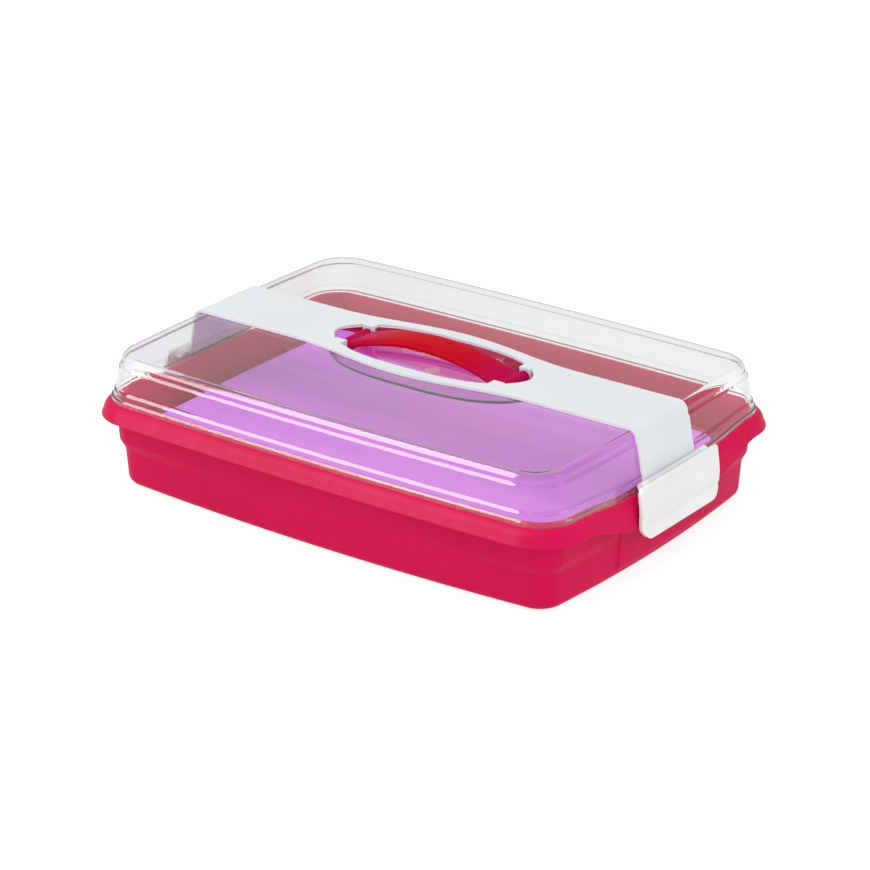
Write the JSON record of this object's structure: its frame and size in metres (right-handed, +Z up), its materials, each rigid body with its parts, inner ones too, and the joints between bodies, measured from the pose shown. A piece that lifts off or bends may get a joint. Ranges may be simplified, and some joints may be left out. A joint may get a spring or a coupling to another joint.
{
  "type": "sheet cake carrier",
  "caption": "Sheet cake carrier: deep tray, clear lift-off lid with a strap and an arched carrying handle, hinged clips at the short ends and a lift-out plate.",
  "frame": {"origin": "centre of the tray's underside", "axes": "+X along the long side, +Y along the short side, +Z up; the clips stand at the +X and -X ends"},
  "size_m": [0.4682, 0.327, 0.1248],
  "materials": {
    "tray_pp": "crimson moulded polypropylene, satin gloss",
    "lid_clear": "clear moulded polystyrene, gloss",
    "white_pp": "white moulded polypropylene, satin",
    "handle_red": "translucent red moulded plastic, gloss",
    "pin_steel": "drawn steel wire",
    "plate_violet": "violet moulded polypropylene, satin"
  },
  "bodies": {
    "tray_body": {"tray": "tray_pp"},
    "lid_body": {"lid": "lid_clear", "strap": "white_pp"},
    "handle_body": {"handle": "handle_red", "handle_pin_right": "pin_steel", "handle_pin_left": "pin_steel"},
    "clip_right_body": {"clip_right": "white_pp", "clip_pin_right": "pin_steel"},
    "clip_left_body": {"clip_left": "white_pp", "clip_pin_left": "pin_steel"},
    "plate_body": {"plate": "plate_violet"}
  },
  "joints": [
    {"name": "lid_lift", "type": "slide", "parent": "tray_body", "child": "lid_body", "axis": [0, 0, 1], "range_m": [0, 0.2]},
    {"name": "plate_lift", "type": "slide", "parent": "tray_body", "child": "plate_body", "axis": [0, 0, 1], "range_m": [0, 0.1]},
    {"name": "handle_lift", "type": "slide", "parent": "lid_body", "child": "handle_body", "axis": [0, 0, 1], "range_m": [0, 0.0035]},
    {"name": "clip_right_hinge", "type": "hinge", "parent": "lid_body", "child": "clip_right_body", "pos_m": [0.224, 0, 0.0742], "axis": [0, -1, 0], "range_deg": [0, 90]},
    {"name": "clip_left_hinge", "type": "hinge", "parent": "lid_body", "child": "clip_left_body", "pos_m": [-0.224, 0, 0.0742], "axis": [0, 1, 0], "range_deg": [0, 90]}
  ],
  "couplings": [
    {"joint": "plate_lift", "follows": "lid_lift", "ratio": 0.5}
  ]
}
